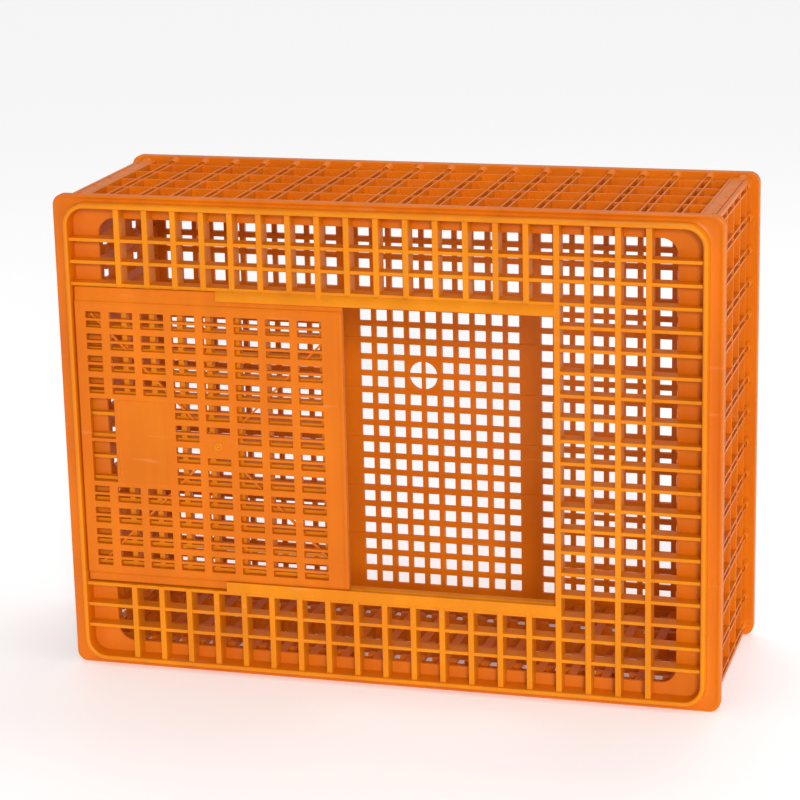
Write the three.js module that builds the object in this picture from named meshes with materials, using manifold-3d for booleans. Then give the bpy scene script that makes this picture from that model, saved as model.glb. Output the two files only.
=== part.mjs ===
// A stackable poultry transport crate: seven plastic mouldings that plug together, with no other fasteners.
//
// The crate stands on one long side. X runs along its length, Z up its width and Y through its depth: the lid,
// with the sliding door, faces -Y and the floor panel faces +Y. In use the crate lies on its floor panel. The
// origin is at the middle of the side it stands on. Lengths are millimetres.

import * as THREE from 'three';
import { mergeVertices } from 'three/addons/utils/BufferGeometryUtils.js';
import Module from 'manifold-3d';

const wasm = await Module();
wasm.setup();

// Whole crate
const LENGTH = 750;
const WIDTH = 550;
const DEPTH = 270;
const MID_Z = WIDTH / 2;
const CORNER_RADIUS = 12;
const GAP = 0.3;
const JOIN = 1;
const GRID = 0.001;

// Lid: a flange all round, a stacking lip in front of it, and a border plate at the back of the recess
const LID_FRONT = -DEPTH / 2;
const FLANGE_THICKNESS = 12;
const LIP_HEIGHT = 12;
const LIP_WIDTH = 5.2;
const LIP_INSET_X = 15.5;
const LIP_INSET_Z = 8;
const LIP_RADIUS = 25;
const BORDER_THICKNESS = 4;
const BORDER_OPENING_X = 327;
const BORDER_OPENING_Z = 248;
const BORDER_OPENING_RADIUS = 18;
const FLANGE_FRONT = LID_FRONT + LIP_HEIGHT;
const LID_BACK = FLANGE_FRONT + FLANGE_THICKNESS;

// Lid lattice: upright ribs and level ribs, both a little below the lip
const UPRIGHT_PITCH = 33;
const UPRIGHT_WIDTH = 6.5;
const UPRIGHTS_EACH_SIDE = 9;
const LEVEL_PITCH = 25.15;
const LEVEL_WIDTH = 4;
const LEVELS_EACH_SIDE = 9;
const RIB_FRONT = LID_FRONT + 3;
const RIB_BACK = LID_BACK - 1;

// Door lane: the strip between two level ribs that the door slides along
const LANE_LEVEL = 7;
const JAMB_RIGHT = 6;
const JAMB_LEFT = -2;
const LANE_RIB_FRONT = FLANGE_FRONT + GAP;
const RAIL_START = -185;
const RAIL_REACH = 12;
const RAIL_THICKNESS = 3.5;
const STOP_TAB_HEIGHT = 128;
const STOP_TAB_REACH = 4;

// Sliding door
const DOOR_LEFT = -352.4;
const DOOR_RIGHT = -40.5;
const DOOR_HALF_HEIGHT = 172.5;
const DOOR_BODY_TOP = 429.5;
const DOOR_BODY_BOTTOM = 115;
const DOOR_FRONT = LID_FRONT + 4.5;
const DOOR_BACK = FLANGE_FRONT - 0.5;
const TONGUE_THICKNESS = 3.7;
const GRILLE_MID_Z = 271;
const GRILLE_ROW_PITCH = 25.4;
const GRILLE_ROWS = 12;
const GRILLE_WINDOW_HEIGHT = 18;
const GRILLE_COLUMN_PITCH = 36.6;
const GRILLE_COLUMNS = 7;
const GRILLE_LAST_COLUMN = -78.5;
const GRILLE_WINDOW_WIDTH = 27.5;
const EDGE_WINDOW_LEFT = -340;
const EDGE_WINDOW_RIGHT = -322;
const GRIP_RIGHT = -311;
const GRIP_HEIGHT = 97;
const GRIP_BAR = 4;
const PAD_COLUMNS = 2;
const HUB_X = -189;
const HUB_RADIUS = 14;
const HUB_SETBACK = 0.6;
const BRACE_REACH = 146;
const BRACE_WIDTH = 2.5;
const BRACE_THICKNESS = 3;

// Floor panel: an outer rim with a recess inside it that takes the lip of the crate below
const FLOOR_FRONT = DEPTH / 2 - FLANGE_THICKNESS;
const FLOOR_PLATE = 5;
const RIM_WIDTH = 7;
const FLOOR_PITCH_X = 40;
const FLOOR_PITCH_Z = 40.7;
const FLOOR_BAR = 5.5;
const FLOOR_UPRIGHTS = 18;
const FLOOR_LEVELS = 12;
const FLOOR_OPEN_HALF_Z = 241.5;
const FLOOR_BAND_MIDDLE = 110;
const FLOOR_BAND_WIDTH = 25.5;
const RING_X = -20;
const RING_Z = MID_Z + FLOOR_PITCH_Z / 2;
const RING_OUTER = 20;
const RING_INNER = 17;
const RING_SETBACK = 0.5;

// Walls: columns from the lid to the floor panel, tied by ribs that run round the crate
const WALL_THICKNESS = 19;
const WALL_SETBACK_Z = 5;
const WALL_SETBACK_X = 10;
const COLUMN_WIDTH = 10.5;
const CHANNEL_WIDTH = 5.5;
const CHANNEL_DEPTH = 13;
const LONG_WALL_PITCH = 37.6;
const LONG_WALL_COLUMNS = 18;
const END_WALL_PITCH = 37.5;
const END_WALL_COLUMNS = 15;
const TIE_RIB = 3;
const TIE_RIB_SPACING = 46;
const TIE_RIBS = 5;
const END_PLATE = 2.5;

const LANE_EDGE = LANE_LEVEL * LEVEL_PITCH - LEVEL_WIDTH / 2;

// A closed geometry as a solid for joining and cutting, on a fine grid so that flush faces meet exactly.
function solid(geometry) {
  const bare = geometry.clone();
  bare.deleteAttribute('normal');
  bare.deleteAttribute('uv');
  const merged = mergeVertices(bare, GRID / 10);
  const mesh = new wasm.Mesh({
    numProp: 3,
    vertProperties: Float32Array.from(merged.attributes.position.array, (place) => Math.round(place / GRID) * GRID),
    triVerts: new Uint32Array(merged.index.array),
  });
  return new wasm.Manifold(mesh);
}

// A solid as a geometry again.
function geometryOf(whole) {
  const mesh = whole.getMesh();
  const geometry = new THREE.BufferGeometry();
  geometry.setAttribute('position', new THREE.BufferAttribute(mesh.vertProperties, 3));
  geometry.setIndex(new THREE.BufferAttribute(mesh.triVerts, 1));
  geometry.computeVertexNormals();
  return geometry;
}

// Several closed geometries as one solid.
function joined(geometries) {
  return geometries.map(solid).reduce((sum, next) => sum.add(next));
}

// A block given by its low and high ends along each axis.
function block([x0, x1], [y0, y1], [z0, z1]) {
  const box = new THREE.BoxGeometry(x1 - x0, y1 - y0, z1 - z0);
  return box.translate((x0 + x1) / 2, (y0 + y1) / 2, (z0 + z1) / 2);
}

// A rectangle with round corners about (0, 0), as a path or as an outline.
function roundedRectangle(halfWidth, halfHeight, radius, target = new THREE.Shape()) {
  const turn = Math.PI / 2;
  target.moveTo(-halfWidth + radius, -halfHeight);
  target.lineTo(halfWidth - radius, -halfHeight);
  target.absarc(halfWidth - radius, -halfHeight + radius, radius, -turn, 0);
  target.lineTo(halfWidth, halfHeight - radius);
  target.absarc(halfWidth - radius, halfHeight - radius, radius, 0, turn);
  target.lineTo(-halfWidth + radius, halfHeight);
  target.absarc(-halfWidth + radius, halfHeight - radius, radius, turn, 2 * turn);
  target.lineTo(-halfWidth, -halfHeight + radius);
  target.absarc(-halfWidth + radius, -halfHeight + radius, radius, 2 * turn, 3 * turn);
  return target;
}

// An outline in X and Z about the crate's middle height, given thickness from front to back along Y.
function panel(outline, front, back) {
  const slab = new THREE.ExtrudeGeometry(outline, { depth: back - front, bevelEnabled: false, curveSegments: 4 });
  return slab.rotateX(Math.PI / 2).translate(0, back, MID_Z);
}

// A flat ring between two rounded rectangles, each given as [half width, half height, radius].
function ring(outer, inner, front, back) {
  const outline = roundedRectangle(...outer);
  outline.holes.push(roundedRectangle(...inner, new THREE.Path()));
  return panel(outline, front, back);
}

// The clear spans between bars of one width, from the bars' middles.
function spans(middles, barWidth) {
  return middles.slice(1).map((middle, i) => [middles[i] + barWidth / 2, middle - barWidth / 2]);
}

// Evenly spaced places about zero.
function spread(count, pitch) {
  return Array.from({ length: count }, (_, i) => (i - (count - 1) / 2) * pitch);
}

// One block for each pair of spans, cut right through along Y.
function windows(acrossSpans, upSpans, through) {
  return acrossSpans.flatMap((across) => upSpans.map((up) => block(across, through, up)));
}

// A rounded rectangle inset from the edge of the stacking lip, as [half width, half height, radius].
function insetOutline(extra) {
  return [
    LENGTH / 2 - LIP_INSET_X - extra,
    WIDTH / 2 - LIP_INSET_Z - extra,
    LIP_RADIUS - extra,
  ];
}

// Flange, stacking lip and border plate of the lid.
function lidFrame() {
  const edge = [LENGTH / 2, WIDTH / 2, CORNER_RADIUS];
  const opening = [BORDER_OPENING_X, BORDER_OPENING_Z, BORDER_OPENING_RADIUS];
  return [
    ring(edge, insetOutline(LIP_WIDTH), FLANGE_FRONT, LID_BACK),
    ring(insetOutline(0), insetOutline(LIP_WIDTH), LID_FRONT, FLANGE_FRONT + JOIN),
    ring(insetOutline(LIP_WIDTH - JOIN), opening, LID_BACK - BORDER_THICKNESS, LID_BACK),
  ];
}

// Upright ribs: whole outside the door lane, set back behind the parked door, none across the doorway.
function lidUprights() {
  const reach = WIDTH / 2 - LIP_INSET_Z - LIP_WIDTH + JOIN;
  const ribs = [];
  for (let i = -UPRIGHTS_EACH_SIDE; i <= UPRIGHTS_EACH_SIDE; i += 1) {
    const across = [i * UPRIGHT_PITCH - UPRIGHT_WIDTH / 2, i * UPRIGHT_PITCH + UPRIGHT_WIDTH / 2];
    if (i >= JAMB_RIGHT) {
      ribs.push(block(across, [RIB_FRONT, RIB_BACK], [MID_Z - reach, MID_Z + reach]));
      continue;
    }
    ribs.push(block(across, [RIB_FRONT, RIB_BACK], [MID_Z + LANE_EDGE, MID_Z + reach]));
    ribs.push(block(across, [RIB_FRONT, RIB_BACK], [MID_Z - reach, MID_Z - LANE_EDGE]));
    if (i <= JAMB_LEFT) {
      ribs.push(block(across, [LANE_RIB_FRONT, RIB_BACK], [MID_Z - LANE_EDGE - JOIN, MID_Z + LANE_EDGE + JOIN]));
    }
  }
  return ribs;
}

// Level ribs: whole above and below the lane and right of the doorway, set back behind the parked door.
function lidLevels() {
  const reach = LENGTH / 2 - LIP_INSET_X - LIP_WIDTH + JOIN;
  const ribs = [];
  for (let i = -LEVELS_EACH_SIDE; i <= LEVELS_EACH_SIDE; i += 1) {
    const middle = MID_Z + i * LEVEL_PITCH;
    const up = [middle - LEVEL_WIDTH / 2, middle + LEVEL_WIDTH / 2];
    const inLane = Math.abs(i) < LANE_LEVEL;
    const start = inLane ? JAMB_RIGHT * UPRIGHT_PITCH : -reach;
    ribs.push(block([start, reach], [RIB_FRONT, RIB_BACK], up));
    if (inLane) {
      ribs.push(block([-reach, JAMB_LEFT * UPRIGHT_PITCH], [LANE_RIB_FRONT, RIB_BACK], up));
    }
  }
  return ribs;
}

// Door rails in front of the lane, ledges behind it, and the stop tab on the right jamb.
function lidRails() {
  const left = -(LENGTH / 2 - LIP_INSET_X - LIP_WIDTH + JOIN);
  const right = JAMB_RIGHT * UPRIGHT_PITCH;
  const pieces = [];
  for (const side of [-1, 1]) {
    const edges = [MID_Z + side * (LANE_EDGE + JOIN), MID_Z + side * (LANE_EDGE - RAIL_REACH)];
    const up = [Math.min(...edges), Math.max(...edges)];
    pieces.push(block([RAIL_START, right], [RIB_FRONT, RIB_FRONT + RAIL_THICKNESS], up));
    pieces.push(block([left, right], [LANE_RIB_FRONT, RIB_BACK], up));
  }
  const tabRight = right - UPRIGHT_WIDTH / 2;
  pieces.push(block(
    [tabRight - STOP_TAB_REACH, tabRight + JOIN],
    [LANE_RIB_FRONT, RIB_BACK],
    [MID_Z - STOP_TAB_HEIGHT / 2, MID_Z + STOP_TAB_HEIGHT / 2],
  ));
  return pieces;
}

function lid() {
  return geometryOf(joined([...lidFrame(), ...lidUprights(), ...lidLevels(), ...lidRails()]));
}

// A span less the part of it that a solid band covers.
function besideBand([low, high], bandMiddle) {
  const bandLow = bandMiddle - FLOOR_BAND_WIDTH / 2;
  const bandHigh = bandMiddle + FLOOR_BAND_WIDTH / 2;
  if (low < bandLow && high > bandLow) {
    return [low, bandLow];
  }
  return low < bandHigh && high > bandHigh ? [bandHigh, high] : [low, high];
}

// The round boss in the floor panel, a hoop about the crossing of two bars.
function floorRing(plateBack) {
  const hoop = new THREE.LatheGeometry([
    new THREE.Vector2(RING_OUTER, FLOOR_FRONT + RING_SETBACK),
    new THREE.Vector2(RING_OUTER, plateBack - RING_SETBACK),
    new THREE.Vector2(RING_INNER, plateBack - RING_SETBACK),
    new THREE.Vector2(RING_INNER, FLOOR_FRONT + RING_SETBACK),
    new THREE.Vector2(RING_OUTER, FLOOR_FRONT + RING_SETBACK),
  ], 24);
  return hoop.translate(RING_X, 0, RING_Z);
}

// The floor panel's lattice with its two solid bands, its round boss and its rim.
function floorPanel() {
  const edge = [LENGTH / 2, WIDTH / 2, CORNER_RADIUS];
  const inner = [LENGTH / 2 - RIM_WIDTH, WIDTH / 2 - RIM_WIDTH, CORNER_RADIUS];
  const plateBack = FLOOR_FRONT + FLOOR_PLATE;
  const plate = panel(roundedRectangle(LENGTH / 2 - JOIN, WIDTH / 2 - JOIN, CORNER_RADIUS), FLOOR_FRONT, plateBack);
  const across = spans(spread(FLOOR_UPRIGHTS, FLOOR_PITCH_X), FLOOR_BAR)
    .map((span) => besideBand(besideBand(span, -FLOOR_BAND_MIDDLE), FLOOR_BAND_MIDDLE));
  const outerMiddle = FLOOR_OPEN_HALF_Z + FLOOR_BAR / 2;
  const levels = [-outerMiddle, ...spread(FLOOR_LEVELS, FLOOR_PITCH_Z), outerMiddle];
  const up = spans(levels.map((level) => level + MID_Z), FLOOR_BAR);
  const holes = windows(across, up, [FLOOR_FRONT - JOIN, plateBack + JOIN]);
  const lattice = joined([ring(edge, inner, FLOOR_FRONT, DEPTH / 2), plate]).subtract(joined(holes));
  return geometryOf(lattice.add(solid(floorRing(plateBack))));
}

// A wall with its run along X about zero and its thickness up from z = 0. The windows leave the columns, the tie
// ribs across them and a bar along each edge. Each column is a channel, open on the crate's outside, which is
// the wall's upper side where outward is 1 and its lower side where outward is -1.
function wall(columnMiddles, halfRun, endBar, outward) {
  const front = LID_BACK + GAP;
  const back = FLOOR_FRONT - GAP;
  const ties = spread(TIE_RIBS, TIE_RIB_SPACING).map((offset) => (front + back) / 2 + offset);
  const ribs = [front + TIE_RIB / 2, ...ties, back - TIE_RIB / 2];
  const outside = COLUMN_WIDTH / 2 - endBar;
  const gaps = spans([-halfRun - outside, ...columnMiddles, halfRun + outside], COLUMN_WIDTH);
  const open = gaps.filter(([low, high]) => high - low > COLUMN_WIDTH);
  const through = [-JOIN, WALL_THICKNESS + JOIN];
  const holes = open.flatMap((across) => spans(ribs, TIE_RIB).map((along) => block(across, along, through)));
  const channelled = columnMiddles.filter((x) => Math.abs(x) + COLUMN_WIDTH / 2 < halfRun - endBar);
  const channels = channelled.map((x) => block(
    [x - CHANNEL_WIDTH / 2, x + CHANNEL_WIDTH / 2],
    [front - JOIN, back + JOIN],
    outward > 0 ? [WALL_THICKNESS - CHANNEL_DEPTH, WALL_THICKNESS + JOIN] : [-JOIN, CHANNEL_DEPTH],
  ));
  const slab = solid(block([-halfRun, halfRun], [front, back], [0, WALL_THICKNESS]));
  return geometryOf(slab.subtract(joined([...holes, ...channels])));
}

function longWall(outward) {
  const halfRun = LENGTH / 2 - WALL_SETBACK_X - WALL_THICKNESS - GAP;
  return wall(spread(LONG_WALL_COLUMNS, LONG_WALL_PITCH), halfRun, TIE_RIB, outward);
}

function endWall(outward) {
  const halfRun = WIDTH / 2 - WALL_SETBACK_Z;
  return wall(spread(END_WALL_COLUMNS, END_WALL_PITCH), halfRun, END_PLATE, outward);
}

// The windows of the door's grille, and the two halves of its grip beside the plain label pad.
function doorWindows() {
  const through = [DOOR_FRONT - JOIN, DOOR_BACK + JOIN];
  const holes = [];
  for (const offset of spread(GRILLE_ROWS, GRILLE_ROW_PITCH)) {
    const row = GRILLE_MID_Z + offset;
    const up = [row - GRILLE_WINDOW_HEIGHT / 2, row + GRILLE_WINDOW_HEIGHT / 2];
    const besidePad = Math.abs(offset) < GRIP_HEIGHT / 2;
    const columns = besidePad ? GRILLE_COLUMNS - PAD_COLUMNS : GRILLE_COLUMNS;
    for (let i = 0; i < columns; i += 1) {
      const middle = GRILLE_LAST_COLUMN - i * GRILLE_COLUMN_PITCH;
      holes.push(block([middle - GRILLE_WINDOW_WIDTH / 2, middle + GRILLE_WINDOW_WIDTH / 2], through, up));
    }
    if (!besidePad) {
      holes.push(block([EDGE_WINDOW_LEFT, EDGE_WINDOW_RIGHT], through, up));
    }
  }
  const gripAcross = [EDGE_WINDOW_LEFT, GRIP_RIGHT];
  holes.push(block(gripAcross, through, [GRILLE_MID_Z - GRIP_HEIGHT / 2, GRILLE_MID_Z - GRIP_BAR / 2]));
  holes.push(block(gripAcross, through, [GRILLE_MID_Z + GRIP_BAR / 2, GRILLE_MID_Z + GRIP_HEIGHT / 2]));
  return holes;
}

// A round hub at the middle of the grille, and two braces that cross behind it from corner to corner.
function doorHub() {
  const hubBack = DOOR_BACK - HUB_SETBACK;
  const hub = new THREE.CylinderGeometry(HUB_RADIUS, HUB_RADIUS, hubBack - DOOR_FRONT - HUB_SETBACK, 24);
  hub.translate(HUB_X, (hubBack + DOOR_FRONT + HUB_SETBACK) / 2, GRILLE_MID_Z);
  const braceLength = 2 * Math.SQRT2 * BRACE_REACH;
  const braces = [-1, 1].map((side) => (
    new THREE.BoxGeometry(braceLength, BRACE_THICKNESS, BRACE_WIDTH)
      .rotateY(side * Math.PI / 4)
      .translate(HUB_X, hubBack + HUB_SETBACK / 2 - BRACE_THICKNESS / 2, GRILLE_MID_Z)
  ));
  return joined([hub, ...braces]);
}

// The door: a body with its windows, hub and braces, and a thin tongue along the top and bottom edges.
function slidingDoor() {
  const across = [DOOR_LEFT, DOOR_RIGHT];
  const tongue = [DOOR_BACK - TONGUE_THICKNESS, DOOR_BACK - GAP];
  return geometryOf(joined([
    block(across, [DOOR_FRONT, DOOR_BACK], [DOOR_BODY_BOTTOM, DOOR_BODY_TOP]),
    block(across, tongue, [DOOR_BODY_TOP - JOIN, MID_Z + DOOR_HALF_HEIGHT]),
    block(across, tongue, [MID_Z - DOOR_HALF_HEIGHT, DOOR_BODY_BOTTOM + JOIN]),
  ]).subtract(joined(doorWindows())).add(doorHub()));
}

const plasticOrange = 0xe8801f;

function moulding(name, geometry) {
  const material = new THREE.MeshStandardMaterial({ color: plasticOrange, roughness: 0.42, metalness: 0 });
  const mesh = new THREE.Mesh(geometry, material);
  mesh.name = name;
  return mesh;
}

const crate = new THREE.Group();
crate.add(moulding('lid', lid()));
crate.add(moulding('floor_panel', floorPanel()));
crate.add(moulding('sliding_door', slidingDoor()));

// A long wall's thickness runs along Z.
const upperWall = moulding('long_wall_upper', longWall(1));
upperWall.position.z = WIDTH - WALL_SETBACK_Z - WALL_THICKNESS;
crate.add(upperWall);
const lowerWall = moulding('long_wall_lower', longWall(-1));
lowerWall.position.z = WALL_SETBACK_Z;
crate.add(lowerWall);

// An end wall is turned a quarter about Y, so that its run is upright and its thickness lies along -X.
for (const [name, side] of [['end_wall_left', -1], ['end_wall_right', 1]]) {
  const outerFace = side * (LENGTH / 2 - WALL_SETBACK_X);
  const end = moulding(name, endWall(-side));
  end.rotation.y = -Math.PI / 2;
  end.position.set(side > 0 ? outerFace : outerFace + WALL_THICKNESS, 0, MID_Z);
  crate.add(end);
}

export default crate;
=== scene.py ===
import bpy
import numpy as np
from math import pi, radians
from mathutils import Matrix, Vector


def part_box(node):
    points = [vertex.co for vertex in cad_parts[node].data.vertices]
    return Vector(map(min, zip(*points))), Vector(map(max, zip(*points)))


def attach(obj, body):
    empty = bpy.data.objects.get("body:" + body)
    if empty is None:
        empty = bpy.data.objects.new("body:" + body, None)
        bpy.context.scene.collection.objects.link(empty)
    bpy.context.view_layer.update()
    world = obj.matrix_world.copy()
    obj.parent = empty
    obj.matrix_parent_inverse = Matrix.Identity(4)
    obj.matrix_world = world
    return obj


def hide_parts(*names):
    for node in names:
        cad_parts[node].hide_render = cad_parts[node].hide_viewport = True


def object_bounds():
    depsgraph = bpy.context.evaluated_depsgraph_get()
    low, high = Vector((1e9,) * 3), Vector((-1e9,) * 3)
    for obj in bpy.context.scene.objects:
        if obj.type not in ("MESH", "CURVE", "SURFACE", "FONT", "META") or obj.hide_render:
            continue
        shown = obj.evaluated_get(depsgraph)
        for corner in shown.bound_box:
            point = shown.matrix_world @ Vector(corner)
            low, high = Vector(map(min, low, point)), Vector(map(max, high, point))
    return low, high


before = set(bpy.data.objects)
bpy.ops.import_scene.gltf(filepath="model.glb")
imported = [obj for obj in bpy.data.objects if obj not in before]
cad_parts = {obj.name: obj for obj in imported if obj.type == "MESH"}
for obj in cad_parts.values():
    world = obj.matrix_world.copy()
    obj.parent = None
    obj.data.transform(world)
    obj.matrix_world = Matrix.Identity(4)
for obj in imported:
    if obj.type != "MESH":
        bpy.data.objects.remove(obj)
cad_low, cad_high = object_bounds()

# ---------------------------------------------------------------------------------------------
# Camera: a long lens at the crate's right, a little above it, looking down and to the left.
# ---------------------------------------------------------------------------------------------
lens_data = bpy.data.cameras.new("camera")
lens_data.lens = 119.75
lens_data.sensor_width = 36.0
camera = bpy.data.objects.new("camera", lens_data)
bpy.context.collection.objects.link(camera)
camera_place = Vector((0.7923, -2.8103, 1.1034))
camera_turn, camera_dip, camera_roll = radians(16.011), radians(15.377), radians(-1.30)
camera.matrix_world = (
    Matrix.Translation(camera_place)
    @ Matrix.Rotation(camera_turn, 4, "Z")
    @ Matrix.Rotation(pi / 2 - camera_dip, 4, "X")
    @ Matrix.Rotation(camera_roll, 4, "Z")
)
bpy.context.scene.camera = camera

# ---------------------------------------------------------------------------------------------
# Studio: a pale, faintly glowing floor that runs to the horizon, an even white sky, a broad low
# key light from the front right, and two soft boxes that lift the upper faces and the right end.
# ---------------------------------------------------------------------------------------------
floor_half = 30.0
floor_mesh = bpy.data.meshes.new("studio_floor")
floor_mesh.from_pydata(
    [(x * floor_half, y * floor_half, 0) for x, y in ((-1, -1), (1, -1), (1, 1), (-1, 1))],
    [],
    [(0, 1, 2, 3)],
)
studio_floor = bpy.data.objects.new("studio_floor", floor_mesh)
bpy.context.collection.objects.link(studio_floor)
floor_paint = bpy.data.materials.new("studio_floor")
floor_paint.use_nodes = True
floor_shader = floor_paint.node_tree.nodes["Principled BSDF"]
floor_shader.inputs["Base Color"].default_value = (0.95, 0.95, 0.955, 1)
floor_shader.inputs["Roughness"].default_value = 0.5
floor_shader.inputs["Emission Color"].default_value = (1, 1, 1, 1)
floor_shader.inputs["Emission Strength"].default_value = 0.2
floor_mesh.materials.append(floor_paint)

sky = bpy.data.worlds.new("studio_sky")
sky.use_nodes = True
sky.node_tree.nodes["Background"].inputs["Color"].default_value = (1.0, 1.0, 1.0, 1)
sky.node_tree.nodes["Background"].inputs["Strength"].default_value = 0.58
bpy.context.scene.world = sky
bpy.context.scene.view_settings.view_transform = "Standard"


def soft_box(name, place, aim, size, power, tint=(1, 1, 1)):
    """A square area light at a place, turned to face the aim."""
    lamp = bpy.data.lights.new(name, "AREA")
    lamp.shape = "SQUARE"
    lamp.size = size
    lamp.energy = power
    lamp.color = tint
    holder = bpy.data.objects.new(name, lamp)
    bpy.context.collection.objects.link(holder)
    holder.location = place
    holder.rotation_euler = (Vector(aim) - Vector(place)).to_track_quat("-Z", "Y").to_euler()
    return holder


crate_middle = (0, 0, cad_high[2] / 2)
soft_box("right_light", (2.6, -0.6, 1.0), crate_middle, 1.0, 11)
soft_box("top_light", (0.2, 0.9, 2.3), crate_middle, 1.0, 12, (1.0, 0.93, 0.95))
key_data = bpy.data.lights.new("key_light", "SUN")
key_data.energy = 2.0
key_data.angle = radians(14)
key_light = bpy.data.objects.new("key_light", key_data)
bpy.context.collection.objects.link(key_light)
key_light.rotation_euler = (-Vector((0.34, -0.89, 0.32))).to_track_quat("-Z", "Y").to_euler()

# ---------------------------------------------------------------------------------------------
# The plastic: injection-moulded polyethylene, coloured right through. It is semi-gloss, a little
# cloudy in tone, faintly orange-peeled from the mould, with fine scuffs from handling.
# ---------------------------------------------------------------------------------------------


def moulded_plastic(name, deep, bright, gloss):
    """The plastic between a deep and a bright tone. Large clouds and small streaks mix the two, fine noise
    gives the orange peel, and stretched noise gives scuffs that are paler and rougher."""
    paint = bpy.data.materials.new(name)
    paint.use_nodes = True
    nodes, links = paint.node_tree.nodes, paint.node_tree.links
    shader = nodes["Principled BSDF"]
    place = nodes.new("ShaderNodeTexCoord")

    def noise(scale, detail, stretch=(1, 1, 1), turn=(0, 0, 0)):
        """Noise over the piece's own coordinates, which are first stretched and then turned."""
        mapping = nodes.new("ShaderNodeMapping")
        mapping.inputs["Scale"].default_value = stretch
        mapping.inputs["Rotation"].default_value = turn
        links.new(place.outputs["Object"], mapping.inputs["Vector"])
        texture = nodes.new("ShaderNodeTexNoise")
        texture.inputs["Scale"].default_value = scale
        texture.inputs["Detail"].default_value = detail
        links.new(mapping.outputs["Vector"], texture.inputs["Vector"])
        return texture.outputs["Fac"]

    def ramp(value, low, high, low_colour, high_colour):
        """A colour that runs from one to the other as the value goes from low to high."""
        blend = nodes.new("ShaderNodeValToRGB")
        blend.color_ramp.elements[0].position = low
        blend.color_ramp.elements[0].color = low_colour
        blend.color_ramp.elements[1].position = high
        blend.color_ramp.elements[1].color = high_colour
        links.new(value, blend.inputs["Fac"])
        return blend.outputs["Color"]

    def mix(kind, factor, first, second):
        """Two colours mixed in the way named. Sockets 0, 6 and 7 hold the factor and the colours, and output
        2 gives the result."""
        blend = nodes.new("ShaderNodeMix")
        blend.data_type = "RGBA"
        blend.blend_type = kind
        for value, socket in ((factor, blend.inputs[0]), (first, blend.inputs[6]), (second, blend.inputs[7])):
            if isinstance(value, (int, float, tuple)):
                socket.default_value = value
            else:
                links.new(value, socket)
        return blend.outputs[2]

    clouds = ramp(noise(7.0, 3.0), 0.3, 0.7, (*deep, 1), (*bright, 1))
    streaks = ramp(noise(40.0, 4.0, (1, 1, 0.18)), 0.35, 0.75, (0.93, 0.93, 0.93, 1), (1.05, 1.05, 1.05, 1))
    scuffs = ramp(noise(60.0, 6.0, (0.25, 1, 2.2), (0.3, 0.5, 0.2)), 0.66, 0.74, (0, 0, 0, 1), (1, 1, 1, 1))
    toned = mix("MULTIPLY", 1.0, clouds, streaks)
    faint_scuffs = mix("MULTIPLY", 1.0, scuffs, (0.07, 0.07, 0.07, 1))
    worn = mix("MIX", faint_scuffs, toned, (0.95, 0.62, 0.36, 1))
    links.new(worn, shader.inputs["Base Color"])

    dull = ramp(noise(90.0, 5.0), 0.3, 0.7, (gloss - 0.05,) * 3 + (1,), (gloss + 0.07,) * 3 + (1,))
    rough = mix("ADD", 1.0, dull, faint_scuffs)
    links.new(rough, shader.inputs["Roughness"])

    peel = nodes.new("ShaderNodeBump")
    peel.inputs["Strength"].default_value = 0.12
    peel.inputs["Distance"].default_value = 0.0004
    links.new(noise(420.0, 3.0), peel.inputs["Height"])
    sink = nodes.new("ShaderNodeBump")
    sink.inputs["Strength"].default_value = 0.25
    sink.inputs["Distance"].default_value = 0.002
    links.new(noise(22.0, 2.0), sink.inputs["Height"])
    links.new(peel.outputs["Normal"], sink.inputs["Normal"])
    links.new(sink.outputs["Normal"], shader.inputs["Normal"])

    shader.inputs["IOR"].default_value = 1.5
    shader.inputs["Specular IOR Level"].default_value = 0.2
    shader.inputs["Subsurface Weight"].default_value = 0.12
    shader.inputs["Subsurface Radius"].default_value = (0.004, 0.0016, 0.0006)
    shader.inputs["Subsurface Scale"].default_value = 1.0
    return paint


# Painted light: the ribs' plastic is a lighter, yellower copy of the same plastic. It paints in the light
# that shines through thin ribs and the highlights on them.
panel_plastic = moulded_plastic("panel_plastic", (0.60, 0.128, 0.0010), (0.68, 0.166, 0.0014), 0.38)
rib_plastic_painted_light = moulded_plastic("rib_plastic_painted_light", (0.66, 0.184, 0.0014), (0.73, 0.234, 0.0020), 0.36)
wall_plastic = moulded_plastic("wall_plastic", (0.61, 0.130, 0.0010), (0.68, 0.162, 0.0014), 0.38)
door_plastic = moulded_plastic("door_plastic", (0.61, 0.132, 0.0010), (0.68, 0.163, 0.0014), 0.38)

# ---------------------------------------------------------------------------------------------
# Lid frame: the lid's solid edge. A flange runs round the lid, rises in a cove to the stacking
# lip, and drops behind it to a border plate. It is moulded in one with the lattice.
# ---------------------------------------------------------------------------------------------
lid_low, lid_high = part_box("lid")
half_length = (lid_high[0] - lid_low[0]) / 2
half_width = (lid_high[2] - lid_low[2]) / 2
mid_z = (lid_high[2] + lid_low[2]) / 2
lid_front, lid_back = lid_low[1], lid_high[1]
flange_front = lid_front + 0.012
lip_outer_x, lip_outer_z = 0.0155, 0.008
lip_width = 0.0052
border_opening_x, border_opening_z = 0.3248, 0.248
border_front = lid_back - 0.004


def skin_object(name, points, faces, paint, sharp=radians(32)):
    """A mesh object at the origin from arrays of points and faces, smooth except along sharp edges."""
    mesh = bpy.data.meshes.new(name)
    mesh.from_pydata(np.asarray(points, float).tolist(), [], [list(map(int, face)) for face in faces])
    mesh.polygons.foreach_set("use_smooth", np.ones(len(mesh.polygons), bool))
    mesh.set_sharp_from_angle(angle=sharp)
    mesh.materials.append(paint)
    mesh.update()
    piece = bpy.data.objects.new(name, mesh)
    bpy.context.collection.objects.link(piece)
    return piece


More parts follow.
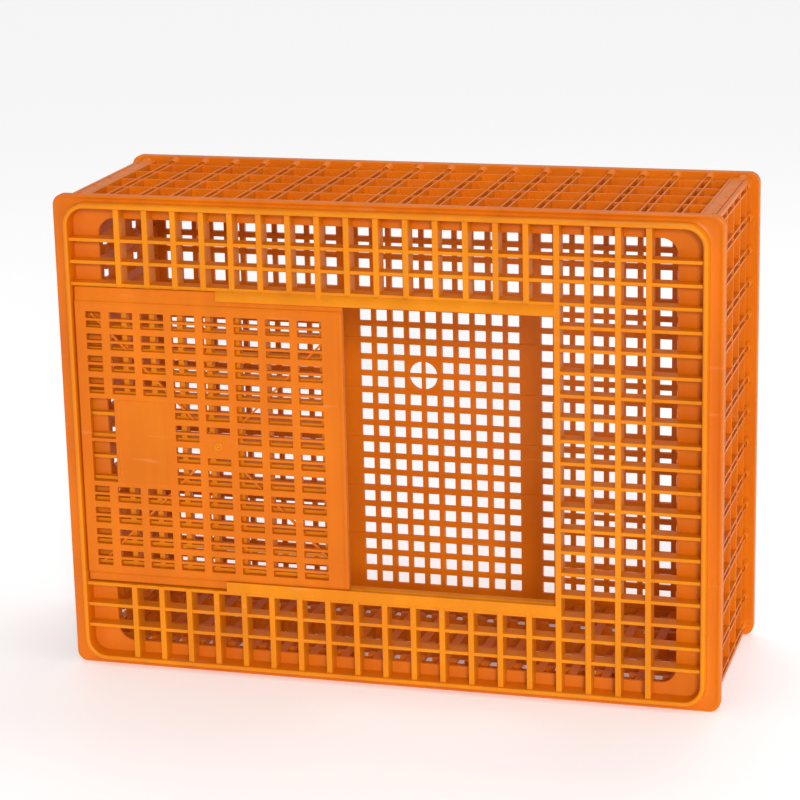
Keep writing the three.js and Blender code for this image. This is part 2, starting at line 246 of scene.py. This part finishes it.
def rounded_rings(half_x, half_z, radius, corner_steps=10):
    """Points round several rounded rectangles at once, in X and Z: each corner is a quarter circle of its own
    radius about a centre one radius in from both sides, and the straight sides join the corners."""
    half_x, half_z, radius = (np.asarray(v, float)[:, None] for v in (half_x, half_z, radius))
    angle = np.concatenate([np.linspace(0, pi / 2, corner_steps) + k * pi / 2 for k in range(4)])
    side_x = np.repeat([1, -1, -1, 1], corner_steps)
    side_z = np.repeat([1, 1, -1, -1], corner_steps)
    x = side_x * (half_x - radius) + radius * np.cos(angle)
    z = side_z * (half_z - radius) + radius * np.sin(angle)
    return x, z


def closed_ring(half_x, half_z, radius, depth, centre=(0, 0), corner_steps=10):
    """A closed band whose section is carried round a rounded rectangle. Row i of the section has its own half
    sizes, corner radius and depth along Y, and the last row joins the first."""
    x, z = rounded_rings(half_x, half_z, radius, corner_steps)
    y = np.repeat(np.asarray(depth, float)[:, None], x.shape[1], axis=1)
    points = np.stack([x + centre[0], y, z + centre[1]], axis=-1).reshape(-1, 3)
    rows, columns = x.shape
    here = np.arange(rows * columns).reshape(rows, columns)
    on = np.roll(here, -1, axis=1)
    down = np.roll(here, -1, axis=0)
    across = np.roll(on, -1, axis=0)
    faces = np.stack([here, down, across, on], axis=-1).reshape(-1, 4)
    return points, faces


# The section from the flange's outer edge to the border plate's opening and back, turned end for end so that
# the skin faces out: how far each point is inset along X and along Z, its corner radius, and its depth.
opening_inset_x = half_length - border_opening_x
opening_inset_z = half_width - border_opening_z
lip_inner_x, lip_inner_z = lip_outer_x + lip_width, lip_outer_z + lip_width
lid_section = np.array([
    (0.0, 0.0, 0.012, lid_back - 0.0010),
    (0.0, 0.0, 0.012, flange_front + 0.0020),
    (0.0003, 0.0003, 0.012, flange_front + 0.0008),
    (0.0010, 0.0010, 0.012, flange_front + 0.0001),
    (0.0020, 0.0017, 0.012, flange_front),
    (0.0032, 0.0025, 0.013, flange_front + 0.0003),
    (0.0046, 0.0033, 0.014, flange_front + 0.0011),
    (0.0070, 0.0042, 0.016, flange_front + 0.0014),
    (0.0104, 0.0055, 0.020, flange_front + 0.0014),
    (0.0132, 0.0065, 0.023, flange_front + 0.0012),
    (0.0146, 0.0073, 0.0245, flange_front + 0.0002),
    (0.0152, 0.0077, 0.0249, flange_front - 0.0016),
    (lip_outer_x, lip_outer_z, 0.025, lid_front + 0.0022),
    (lip_outer_x + 0.0003, lip_outer_z + 0.0003, 0.0247, lid_front + 0.0010),
    (lip_outer_x + 0.0010, lip_outer_z + 0.0010, 0.0240, lid_front + 0.0003),
    (lip_outer_x + 0.0019, lip_outer_z + 0.0019, 0.0231, lid_front),
    (lip_inner_x - 0.0019, lip_inner_z - 0.0019, 0.0217, lid_front),
    (lip_inner_x - 0.0010, lip_inner_z - 0.0010, 0.0208, lid_front + 0.0003),
    (lip_inner_x - 0.0003, lip_inner_z - 0.0003, 0.0201, lid_front + 0.0010),
    (lip_inner_x, lip_inner_z, 0.0198, lid_front + 0.0022),
    (lip_inner_x + 0.0004, lip_inner_z + 0.0004, 0.018, border_front - 0.0016),
    (lip_inner_x + 0.0012, lip_inner_z + 0.0010, 0.018, border_front - 0.0004),
    (lip_inner_x + 0.0026, lip_inner_z + 0.0020, 0.018, border_front),
    (opening_inset_x - 0.0012, opening_inset_z - 0.0012, 0.0192, border_front),
    (opening_inset_x - 0.0004, opening_inset_z - 0.0004, 0.0184, border_front + 0.0003),
    (opening_inset_x, opening_inset_z, 0.018, border_front + 0.0011),
    (opening_inset_x, opening_inset_z, 0.018, lid_back - 0.0008),
    (opening_inset_x - 0.0008, opening_inset_z - 0.0008, 0.0188, lid_back),
    (0.0010, 0.0010, 0.011, lid_back),
])[::-1]
frame_corner_steps = 14
lid_frame = skin_object(
    "lid_frame",
    *closed_ring(
        half_length - lid_section[:, 0], half_width - lid_section[:, 1], lid_section[:, 2], lid_section[:, 3],
        centre=(0, mid_z), corner_steps=frame_corner_steps,
    ),
    panel_plastic,
)
# The lip takes the ribs' lighter copy of the plastic. This is painted light, for its highlight and the light
# through its thin plastic. Its rows are those that stand in front of the flange.
lip_rows_painted_light = (lid_section[:, 3] < flange_front - 0.0016) & (lid_section[:, 0] < lip_inner_x)
lid_frame.data.materials.append(rib_plastic_painted_light)
faces_each_row = 4 * frame_corner_steps
lid_frame.data.polygons.foreach_set("material_index", np.repeat(lip_rows_painted_light.astype(np.int32), faces_each_row))
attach(lid_frame, "crate")
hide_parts("lid")

# ---------------------------------------------------------------------------------------------
# Lid lattice: upright ribs and thinner level ribs between the lips, the door's two rails with a
# ledge behind each, the set-back lattice that the parked door lies on, and the doorway's jamb.
# ---------------------------------------------------------------------------------------------
upright_pitch, upright_width, uprights_each_side = 0.033, 0.0064, 9
level_pitch, level_width, levels_each_side = 0.02515, 0.0040, 9
upright_front = lid_front + 0.0030
level_front = lid_front + 0.0042
rib_back = lid_back - 0.001
door_low, door_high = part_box("sliding_door")
door_clearance = 0.0008
lane_front = door_high[1] + door_clearance
lane_level, jamb_left, jamb_right = 7, -2, 6
lane_edge = lane_level * level_pitch - level_width / 2
reach_x = half_length - lip_inner_x + 0.001
reach_z = half_width - lip_inner_z + 0.001
rail_start, rail_reach, rail_thickness = -0.185, 0.0115, 0.0032
jamb_x = jamb_right * upright_pitch


def moulded_boxes(adds, cuts=()):
    """The one skin round a union of boxes, less the cuts. A box is (x0, x1, y0, y1, z0, z1). The ends of all
    the boxes divide space into cells, a cell inside a box is filled, and a face is kept wherever a filled
    cell meets an empty one."""
    adds = np.round(np.array(adds, float), 6)
    cuts = np.round(np.array(cuts, float).reshape(-1, 6), 6)
    every = np.concatenate([adds, cuts])
    ends = [np.unique(every[:, 2 * a:2 * a + 2]) for a in range(3)]
    filled = np.zeros([len(e) - 1 for e in ends], bool)
    for group, value in ((adds, True), (cuts, False)):
        for box in group:
            low = [np.searchsorted(ends[a], box[2 * a]) for a in range(3)]
            high = [np.searchsorted(ends[a], box[2 * a + 1]) for a in range(3)]
            filled[low[0]:high[0], low[1]:high[1], low[2]:high[2]] = value
    padded = np.pad(filled, 1)
    corner_count = np.array([len(e) for e in ends])
    stride = np.array([corner_count[1] * corner_count[2], corner_count[2], 1])
    faces = []
    for axis in range(3):
        b, c = (axis + 1) % 3, (axis + 2) % 3
        for side in (-1, 1):
            beyond = np.roll(padded, -side, axis=axis)[1:-1, 1:-1, 1:-1]
            cell = np.argwhere(filled & ~beyond)
            cell[:, axis] += side > 0
            start = cell @ stride
            loop = [0, stride[b], stride[b] + stride[c], stride[c]]
            faces.append(start[:, None] + np.array(loop if side > 0 else loop[::-1]))
    faces = np.concatenate(faces)
    used, faces = np.unique(faces, return_inverse=True)
    faces = faces.reshape(-1, 4)
    index = np.stack(np.unravel_index(used, corner_count), axis=-1)
    points = np.stack([ends[a][index[:, a]] for a in range(3)], axis=-1)
    return points, faces


def round_edges(piece, radius, steps):
    """Rounds every sharp edge, inside and outside corners alike, as a mould does."""
    bevel = piece.modifiers.new("round_edges", "BEVEL")
    bevel.width = radius
    bevel.segments = steps
    bevel.limit_method = "ANGLE"
    bevel.angle_limit = radians(40)
    bevel.harden_normals = True
    bevel.use_clamp_overlap = True
    bevel.miter_outer = "MITER_SHARP"
    return piece


def box_piece(name, adds, cuts, paint, radius, steps):
    """A piece with rounded edges from added and cut boxes."""
    piece = skin_object(name, *moulded_boxes(adds, cuts), paint, sharp=pi)
    return round_edges(piece, radius, steps)


above = (mid_z + lane_edge, mid_z + reach_z)
below = (mid_z - reach_z, mid_z - lane_edge)
lattice_boxes = []
for i in range(-uprights_each_side, uprights_each_side + 1):
    across = (i * upright_pitch - upright_width / 2, i * upright_pitch + upright_width / 2)
    if i >= jamb_right:
        lattice_boxes.append((*across, upright_front, rib_back, below[0], above[1]))
    else:
        lattice_boxes.append((*across, upright_front, rib_back, *above))
        lattice_boxes.append((*across, upright_front, rib_back, *below))
    if i <= jamb_left:
        lattice_boxes.append((*across, lane_front, rib_back, below[1], above[0]))
for i in range(-levels_each_side, levels_each_side + 1):
    up = (mid_z + i * level_pitch - level_width / 2, mid_z + i * level_pitch + level_width / 2)
    if abs(i) >= lane_level:
        lattice_boxes.append((-reach_x, reach_x, level_front, rib_back, *up))
    else:
        lattice_boxes.append((jamb_x, reach_x, level_front, rib_back, *up))
        lattice_boxes.append((-reach_x, jamb_left * upright_pitch, lane_front, rib_back, *up))
for side in (-1, 1):
    rail = sorted((mid_z + side * (lane_edge + 0.0005), mid_z + side * (lane_edge - rail_reach)))
    lattice_boxes.append((rail_start, jamb_x, upright_front, upright_front + rail_thickness, *rail))
    lattice_boxes.append((-reach_x, jamb_x, lane_front, rib_back, *rail))
stop_tab_half, stop_tab_reach = 0.064, 0.004
jamb_face = jamb_x - upright_width / 2
lattice_boxes.append((
    jamb_face - stop_tab_reach, jamb_face + 0.001, lane_front, rib_back,
    mid_z - stop_tab_half, mid_z + stop_tab_half,
))
# The lattice takes the lighter rib plastic: painted light through the thin ribs and on their edges.
lid_lattice = box_piece("lid_lattice", lattice_boxes, (), rib_plastic_painted_light, 0.0013, 2)
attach(lid_lattice, "crate")
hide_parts("lid")

# ---------------------------------------------------------------------------------------------
# Hoods: small half-round sockets on the inner faces of the lid and the floor panel, one over the
# end of each wall column. Each swells out into the flange behind it. Moulded with their panel.
# ---------------------------------------------------------------------------------------------
wall_low, wall_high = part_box("long_wall_upper")
long_column_pitch, long_column_count = 0.0376, 18
end_column_pitch, end_column_count = 0.0375, 15
long_columns = (np.arange(long_column_count) - (long_column_count - 1) / 2) * long_column_pitch
end_columns = (np.arange(end_column_count) - (end_column_count - 1) / 2) * end_column_pitch
hood_length, hood_steps, hood_turn = 0.0125, 10, radians(100)
hood_section = np.array([
    (0.0040, 0.0), (0.0044, -0.0005), (0.0051, -0.0005), (0.0056, 0.0002), (0.0058, 0.0050), (0.0064, 0.0090),
    (0.0074, 0.0120), (0.0074, hood_length), (0.0002, hood_length), (0.0002, 0.0014), (0.0038, 0.0010),
])


def hoods(name, centres, outward, face, away, scale, paint):
    """Half-round hoods in one mesh. The section, as radius and distance along Y, is turned about an axis
    along Y through each centre, from one side of the outward direction to the other, and both ends are
    closed."""
    turn = np.linspace(-hood_turn, hood_turn, hood_steps)
    radius = hood_section[:, 0] * scale
    depth = face - away * (hood_length - hood_section[:, 1])
    out = np.asarray(outward, float)
    out = out / np.hypot(*out)
    side = np.array([out[1], -out[0]])
    count = len(radius)
    lean = np.cos(turn)[:, None, None] * out + np.sin(turn)[:, None, None] * side
    flat = lean * radius[None, :, None]
    deep = np.broadcast_to(depth, flat.shape[:2])
    one = np.stack([flat[..., 0], deep, flat[..., 1]], axis=-1).reshape(-1, 3)
    centres = np.asarray(centres, float)
    shift = np.stack([centres[:, 0], np.zeros(len(centres)), centres[:, 1]], axis=-1)
    points = (one[None] + shift[:, None]).reshape(-1, 3)
    here = np.arange(hood_steps * count).reshape(hood_steps, count)
    on = np.roll(here, -1, axis=1)
    quads = np.stack([here[:-1], on[:-1], on[1:], here[1:]], axis=-1).reshape(-1, 4)
    caps = [here[0][::-1], here[-1]]
    if away > 0:
        quads = quads[:, ::-1]
        caps = [cap[::-1] for cap in caps]
    each = np.arange(len(centres)) * hood_steps * count
    faces = (quads[None] + each[:, None, None]).reshape(-1, 4).tolist()
    for cap in caps:
        faces += (cap[None] + each[:, None]).tolist()
    return skin_object(name, points, faces, paint, sharp=radians(50))


hood_sink, corner_sink, corner_scale = 0.0027, 0.0085, 1.6
long_tip, end_tip = wall_high[2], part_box("end_wall_right")[1][0]
hood_reach = 0.34
inner_long = long_columns[np.abs(long_columns) < hood_reach]
inner_end = mid_z + end_columns[1:-1]
panels = (
    ("lid", lid_high[1], -1),
    ("floor_panel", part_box("floor_panel")[0][1], 1),
)
for panel_name, face, away in panels:
    groups = (
        ("top", [(x, long_tip - hood_sink) for x in inner_long], (0, 1), 1.0),
        ("base", [(x, 2 * mid_z - long_tip + hood_sink) for x in inner_long], (0, -1), 1.0),
        ("right", [(end_tip - hood_sink, z) for z in inner_end], (1, 0), 1.0),
        ("left", [(hood_sink - end_tip, z) for z in inner_end], (-1, 0), 1.0),
        ("top_right", [(end_tip - corner_sink, long_tip - corner_sink)], (1, 1), corner_scale),
        ("top_left", [(corner_sink - end_tip, long_tip - corner_sink)], (-1, 1), corner_scale),
        ("base_right", [(end_tip - corner_sink, 2 * mid_z - long_tip + corner_sink)], (1, -1), corner_scale),
        ("base_left", [(corner_sink - end_tip, 2 * mid_z - long_tip + corner_sink)], (-1, -1), corner_scale),
    )
    for side_name, centres, outward, scale in groups:
        hood = hoods(f"{panel_name}_hoods_{side_name}", centres, outward, face, away, scale, panel_plastic)
        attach(hood, "crate")
        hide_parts(panel_name)

# ---------------------------------------------------------------------------------------------
# Sliding door: a grille of thin level bars in pairs between wider ones, with a plain label pad
# beside the finger grip, a hub where the plastic was let in, and crossed flow ribs behind. Its
# top and bottom edges thin down to tongues that run under the lid's rails.
# ---------------------------------------------------------------------------------------------
door_front, door_back = door_low[1], door_high[1]
door_left, door_right = door_low[0], door_high[0]
door_body_top, door_body_bottom = 0.4295, 0.1150
door_face = door_front + 0.0006
grille_mid = 0.271
group_pitch, group_count = 0.0254, 12
slot_height, split_bar = 0.0074, 0.0032
column_pitch, last_column, column_count = 0.0366, -0.0785, 7
slot_width = 0.0275
edge_slot_left, edge_slot_right = -0.340, -0.322
grip_right, grip_half, grip_bar = -0.311, 0.0485, 0.004
hub_column, hub_x = 3, -0.1888

door_cuts = []
for row in range(group_count):
    middle = grille_mid + (row - (group_count - 1) / 2) * group_pitch
    beside_pad = abs(middle - grille_mid) < grip_half
    columns = [
        (last_column - k * column_pitch - slot_width / 2, last_column - k * column_pitch + slot_width / 2)
        for k in range(column_count - 2 * beside_pad)
    ]
    if not beside_pad:
        columns.append((edge_slot_left, edge_slot_right))
    for k, (left, right) in enumerate(columns):
        for side in (-1, 1):
            if k == hub_column and abs(middle - grille_mid + side * slot_height) < slot_height:
                continue
            ends = sorted((middle + side * split_bar / 2, middle + side * (split_bar / 2 + slot_height)))
            door_cuts.append((left, right, door_front - 0.001, door_back + 0.001, *ends))
for side in (-1, 1):
    ends = sorted((grille_mid + side * grip_bar / 2, grille_mid + side * grip_half))
    door_cuts.append((edge_slot_left, grip_right, door_front - 0.001, door_back + 0.001, *ends))
tongue_front = door_back - 0.0037
door_boxes = [(door_left, door_right, door_face, door_back, door_body_bottom, door_body_top)]
door_grille = box_piece("door_grille", door_boxes, door_cuts, door_plastic, 0.0007, 2)
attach(door_grille, "door")
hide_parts("sliding_door")


def carried(name, sections, paint, sharp=radians(32)):
    """A closed solid from a stack of like sections, each a loop of points. The sides join neighbouring
    loops, and the first and last loops are closed."""
    loops = np.asarray(sections, float)
    rows, count = loops.shape[:2]
    here = np.arange(rows * count).reshape(rows, count)
    on = np.roll(here, -1, axis=1)
    faces = np.stack([here[:-1], here[1:], on[1:], on[:-1]], axis=-1).reshape(-1, 4).tolist()
    faces += [here[0].tolist(), here[-1][::-1].tolist()]
    return skin_object(name, loops.reshape(-1, 3), faces, paint, sharp)


def door_part(piece):
    """Ties a piece to the sliding door."""
    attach(piece, "door")
    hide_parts("sliding_door")


# The strips along the top and bottom edges slope back from the face to the tongues under the rails.
strips = (
    ("upper", door_body_top, door_high[2], 1),
    ("lower", door_body_bottom, door_low[2], -1),
)
for strip_name, edge, outer, lean in strips:
    profile = np.array([
        (edge - lean * 0.0010, door_face + 0.0002),
        (edge + lean * 0.0014, door_face + 0.0003),
        (edge + lean * 0.0028, door_face + 0.0017),
        (outer - lean * 0.0085, tongue_front - 0.0004),
        (outer - lean * 0.0070, tongue_front),
        (outer - lean * 0.0006, tongue_front),
        (outer, tongue_front + 0.0006),
        (outer, door_back - 0.0004),
        (edge - lean * 0.0010, door_back - 0.0004),
    ])
    ends = np.array([door_left + 0.0003, door_right - 0.0003])[::lean]
    loops = [[(x, y, z) for z, y in profile] for x in ends]
    door_part(carried(f"door_strip_{strip_name}", loops, door_plastic))

# The hub is the plain block left between the slots. A small raised ring with a pin in it marks its middle.
hub_turn = np.linspace(0, 2 * pi, 48, endpoint=False)


def disc_loops(radii_and_depths, centre_x, centre_z, turn=hub_turn):
    """Circles about an axis along Y, one for each radius and depth."""
    return [
        np.stack([centre_x + r * np.cos(turn), np.full(len(turn), y), centre_z + r * np.sin(turn)], axis=-1)
        for r, y in radii_and_depths
    ]


# The ring's section: radius, and depth from the door's face.
hub_ring = np.array([
    (0.0010, -0.0008), (0.0014, -0.0010), (0.0019, -0.0004), (0.0025, 0.0002),
    (0.0030, -0.0006), (0.0036, -0.0009), (0.0044, -0.0004), (0.0046, 0.0006),
])
hub_loops = disc_loops(hub_ring + (0, door_face), hub_x, grille_mid)
# The ring and pin take the lighter rib plastic as a painted highlight.
door_part(carried("door_hub_ring", hub_loops, rib_plastic_painted_light))

# Two thin braces cross behind the grille from corner to corner.
brace_reach, brace_half = 0.146, 0.0012
for brace_name, lean in (("rising", 1), ("falling", -1)):
    along = np.array([1.0, lean]) / np.sqrt(2)
    over = np.array([-along[1], along[0]]) * brace_half
    loops = []
    for end in (-brace_reach, brace_reach):
        middle = np.array([hub_x + end, grille_mid + lean * end])
        low, high = middle - over, middle + over
        loops.append([
            (low[0], door_back - 0.0031, low[1]), (high[0], door_back - 0.0031, high[1]),
            (high[0], door_back - 0.0004, high[1]), (low[0], door_back - 0.0004, low[1]),
        ])
    door_part(carried(f"door_brace_{brace_name}", loops, door_plastic))

# The label pad stands a little proud beside the grip, with softly rounded corners.
pad_left, pad_right, pad_half = -0.3075, -0.2475, 0.0480
pad_middle_x, pad_half_x = (pad_left + pad_right) / 2, (pad_right - pad_left) / 2
pad_corner = 0.0035
pad_rows = np.array([
    (0.0, 0.0005), (0.0002, -0.0002), (0.0008, -0.0005), (0.0016, -0.0003), (0.0022, -0.0002),
])
pad_inset = pad_rows[:, 0]
pad_x, pad_z = rounded_rings(pad_half_x - pad_inset, pad_half - pad_inset, pad_corner - pad_inset * 0.6, 6)
pad_y = np.repeat(door_face + pad_rows[:, 1:], pad_x.shape[1], axis=1)
pad_loops = np.stack([pad_x + pad_middle_x, pad_y, pad_z + grille_mid], axis=-1)
door_part(carried("door_label_pad", pad_loops[::-1], door_plastic))

# A low bead runs up the door's leading edge.
bead = np.array([
    (-0.0048, 0.0003), (-0.0044, -0.0004), (-0.0034, -0.0006),
    (-0.0012, -0.0006), (-0.0003, -0.0004), (-0.0001, 0.0004),
])
bead_ends = (door_body_top - 0.0004, door_body_bottom + 0.0004)
bead_loops = [[(door_right + x, door_face + y, z) for x, y in bead] for z in bead_ends]
door_part(carried("door_leading_bead", bead_loops, door_plastic))

# ---------------------------------------------------------------------------------------------
# Floor panel: a flat lattice of small square holes, with heavier bars every third hole, a round
# drain ring, two solid bands, and an outer rim that a lower crate's lip nests inside.
# ---------------------------------------------------------------------------------------------
floor_low, floor_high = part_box("floor_panel")
floor_front, floor_back = floor_low[1], floor_high[1]
floor_plate = 0.005
rim_width = 0.007
hole_pitch_x, hole_pitch_z = 0.020, 0.02035
hole_size = 0.0139
holes_x, holes_z = 34, 24
solid_columns = (-0.110, 0.110)
plate_half_x, plate_half_z = 0.362, 0.262
rim_section = np.array([
    (0.0, floor_front + 0.0010, 0.012),
    (0.0, floor_back - 0.0016, 0.012),
    (0.0005, floor_back - 0.0005, 0.0115),
    (0.0016, floor_back, 0.0104),
    (rim_width - 0.0012, floor_back, 0.010),
    (rim_width - 0.0003, floor_back - 0.0004, 0.010),
    (rim_width, floor_back - 0.0012, 0.010),
    (rim_width, floor_front + floor_plate + 0.0014, 0.010),
    (rim_width + 0.0004, floor_front + floor_plate + 0.0004, 0.010),
    (rim_width + 0.0014, floor_front + floor_plate, 0.010),
    (0.020, floor_front + floor_plate, 0.008),
    (0.020, floor_front, 0.008),
    (0.0010, floor_front, 0.011),
])
floor_rim = skin_object(
    "floor_rim",
    *closed_ring(
        half_length - rim_section[:, 0], half_width - rim_section[:, 0], rim_section[:, 2], rim_section[:, 1],
        centre=(0, mid_z), corner_steps=10,
    ),
    panel_plastic,
)
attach(floor_rim, "crate")
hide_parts("floor_panel")

hole_x = (np.arange(holes_x) - (holes_x - 1) / 2) * hole_pitch_x
hole_x = hole_x[~np.isclose(np.abs(hole_x), solid_columns[1])]
hole_z = mid_z + (np.arange(holes_z) - (holes_z - 1) / 2) * hole_pitch_z
ring_x, ring_z, ring_radius = -0.020, mid_z + hole_pitch_z, 0.0172
ring_half = 0.0192
fine_back = floor_front + 0.0038
floor_boxes = [(
    -plate_half_x, plate_half_x, floor_front, fine_back, mid_z - plate_half_z, mid_z + plate_half_z,
)]
heavy_every, heavy_half, heavy_rise = 3, 0.0032, 0.0012
heavy_reach_x, heavy_reach_z = 0.338, 0.2415
heavy_depth = (floor_front - heavy_rise, floor_front + floor_plate)
for k in range(-5, 6):
    across = k * heavy_every * hole_pitch_x
    floor_boxes.append((
        across - heavy_half, across + heavy_half, *heavy_depth, mid_z - heavy_reach_z, mid_z + heavy_reach_z,
    ))
for k in range(-3, 4):
    up = mid_z + k * heavy_every * hole_pitch_z
    floor_boxes.append((-heavy_reach_x, heavy_reach_x, *heavy_depth, up - heavy_half, up + heavy_half))
hole_half = hole_size / 2
hole_depth = (floor_front - 0.002, floor_back)
floor_cuts = [
    (x - hole_half, x + hole_half, *hole_depth, z - hole_half, z + hole_half)
    for x in hole_x for z in hole_z
    if max(abs(x - ring_x), abs(z - ring_z)) > hole_pitch_x
]
floor_cuts.append((
    ring_x - ring_half, ring_x + ring_half, *hole_depth, ring_z - ring_half, ring_z + ring_half,
))
floor_lattice = box_piece("floor_lattice", floor_boxes, floor_cuts, panel_plastic, 0.0005, 1)
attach(floor_lattice, "crate")
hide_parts("floor_panel")

# The drain ring: square outside, to meet the lattice, and round inside, with the two bars crossing it. Each
# row of its section is a half size, a corner radius and a depth.
ring_rows = np.array([
    (ring_half + 0.0008, 0.0015, floor_front - 0.0006),
    (ring_half + 0.0008, 0.0015, fine_back + 0.0006),
    (ring_radius + 0.0014, ring_radius + 0.0013, fine_back + 0.0010),
    (ring_radius + 0.0003, ring_radius + 0.0002, fine_back + 0.0008),
    (ring_radius, ring_radius - 0.0001, fine_back),
    (ring_radius, ring_radius - 0.0001, floor_front),
    (ring_radius + 0.0003, ring_radius + 0.0002, floor_front - 0.0008),
    (ring_radius + 0.0014, ring_radius + 0.0013, floor_front - 0.0010),
])
ring_size, ring_corner, ring_depth = ring_rows.T
drain_ring = skin_object(
    "drain_ring",
    *closed_ring(ring_size, ring_size, ring_corner, ring_depth, centre=(ring_x, ring_z), corner_steps=12),
    panel_plastic,
)
cross_half, cross_sink = 0.0024, 0.0003
cross_depth = (floor_front + cross_sink, fine_back - cross_sink)
cross_bars = [
    (ring_x - cross_half, ring_x + cross_half, *cross_depth, ring_z - ring_half, ring_z + ring_half),
    (ring_x - ring_half, ring_x + ring_half, *cross_depth, ring_z - cross_half, ring_z + cross_half),
]
for ring_part in (drain_ring, box_piece("drain_cross", cross_bars, (), panel_plastic, 0.0005, 1)):
    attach(ring_part, "crate")
    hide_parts("floor_panel")

# ---------------------------------------------------------------------------------------------
# Walls: a comb of channel columns from the lid to the floor panel, tied by five thin ribs. Small
# webs stiffen each crossing, widest on the inside. Each wall is one moulding and plugs in.
# ---------------------------------------------------------------------------------------------
wall_front, wall_back = wall_low[1], wall_high[1]
wall_thickness = wall_high[2] - wall_low[2]
fin, column_width, web = 0.0023, 0.0105, 0.0095
tie_spacing, tie_thickness = 0.046, 0.0026
tie_low, tie_high = 0.0055, wall_thickness - 0.0004
web_reach, web_steps, web_thickness = 0.0095, 5, 0.0075
notch_low, notch_high, notch_depth, notch_half = 0.0085, 0.0136, 0.0024, 0.0022
groove_inset, groove_width, edge_bar = 0.004, 0.0011, 0.003
tie_middles = (wall_front + wall_back) / 2 + (np.arange(5) - 2) * tie_spacing


def wall_shape(columns, half_run, end_plate):
    """A wall as boxes: run along the first axis, Y second, and thickness third, from the inner face at 0.
    Each column is a web with two fins, and the tie ribs and the edge bars run across them all. A groove and
    a notch at each tie rib are cut in both end plates."""
    boxes = []
    for column in columns:
        low, high = max(column - column_width / 2, -half_run), min(column + column_width / 2, half_run)
        boxes.append((low, high, wall_front, wall_back, 0, web))
        boxes.append((low, low + fin, wall_front, wall_back, 0, wall_thickness))
        boxes.append((high - fin, high, wall_front, wall_back, 0, wall_thickness))
    for middle in tie_middles:
        depth = (middle - tie_thickness / 2, middle + tie_thickness / 2)
        boxes.append((-half_run, half_run, *depth, tie_low, tie_high))
    for low, high in ((wall_front, wall_front + edge_bar), (wall_back - edge_bar, wall_back)):
        boxes.append((-half_run, half_run, low, high, 0, tie_high))
    cuts = []
    for low, high in ((-half_run, -half_run + end_plate), (half_run - end_plate, half_run)):
        boxes.append((low, high, wall_front, wall_back, 0, wall_thickness))
    for side in (-1, 1):
        ends = sorted((side * (half_run + 0.001), side * (half_run - notch_depth)))
        for middle in tie_middles:
            cuts.append((*ends, middle - notch_half, middle + notch_half, notch_low, notch_high))
        groove = (wall_front + groove_inset, wall_back - groove_inset)
        cuts.append((*ends, *groove, notch_high, notch_high + groove_width))
    return moulded_boxes(boxes, cuts)


def web_shape(columns, half_run):
    """Webs in both corners between each column and each tie rib, in one mesh. A web's outline is a quarter of
    an ellipse: its reach from the column falls from full at the inner face to none at the outer face."""
    turn = np.linspace(0, pi / 2, web_steps)
    reach = np.concatenate([[0], web_reach * np.cos(turn)])
    height = np.concatenate([[0.0006], 0.0006 + (wall_thickness - 0.0016) * np.sin(turn)])
    count = len(reach)
    here = np.arange(2 * count).reshape(2, count)
    on = np.roll(here, -1, axis=1)
    sides = np.stack([here[0], here[1], on[1], on[0]], axis=-1)
    points, quads, caps = [], [], []
    total = 0
    for column in columns:
        for way in (-1, 1):
            root = column + way * (column_width / 2 - 0.0006)
            if abs(root + way * web_reach) > half_run:
                continue
            for middle in tie_middles:
                for y in (middle - web_thickness / 2, middle + web_thickness / 2):
                    points.append(np.stack([root + way * reach, np.full(count, y), height], axis=-1))
                flip = slice(None, None, way)
                quads.append(sides[:, flip] + total)
                caps += [(here[0][flip] + total).tolist(), (here[1][::-1][flip] + total).tolist()]
                total += 2 * count
    return np.concatenate(points), np.concatenate(quads).tolist() + caps


def put_wall(name, shape, along, outward, inner_face, centre, stands_for, radius=0.0):
    """Turns a wall shape into place: its run goes along X or Z about the centre, its thickness outward."""
    points, faces = shape
    placed = np.empty_like(points)
    placed[:, 1] = points[:, 1]
    run_axis, thick_axis = (0, 2) if along == "X" else (2, 0)
    placed[:, run_axis] = points[:, 0] + centre
    placed[:, thick_axis] = inner_face + outward * points[:, 2]
    mirrored = (outward < 0) != (along == "Z")
    if mirrored:
        faces = [list(face)[::-1] for face in faces]
    piece = skin_object(name, placed, faces, wall_plastic, sharp=pi if radius else radians(40))
    if radius:
        round_edges(piece, radius, 1)
    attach(piece, "crate")
    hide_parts(stands_for)
    return piece


long_half = wall_high[0]
end_half = (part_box("end_wall_right")[1][2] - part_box("end_wall_right")[0][2]) / 2
right_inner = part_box("end_wall_right")[0][0]
long_plate, end_plate = 0.003, 0.0025
long_shape, long_webs = wall_shape(long_columns, long_half, long_plate), web_shape(long_columns, long_half)
end_shape, end_webs = wall_shape(end_columns, end_half, end_plate), web_shape(end_columns, end_half)
wall_places = (
    ("long_wall_upper", long_shape, long_webs, "X", 1, wall_low[2], 0),
    ("long_wall_lower", long_shape, long_webs, "X", -1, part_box("long_wall_lower")[1][2], 0),
    ("end_wall_right", end_shape, end_webs, "Z", 1, right_inner, mid_z),
    ("end_wall_left", end_shape, end_webs, "Z", -1, -right_inner, mid_z),
)
for node, comb, webs, along, outward, inner_face, centre in wall_places:
    put_wall(f"{node}_comb", comb, along, outward, inner_face, centre, node, 0.0005)
    put_wall(f"{node}_webs", webs, along, outward, inner_face, centre, node)
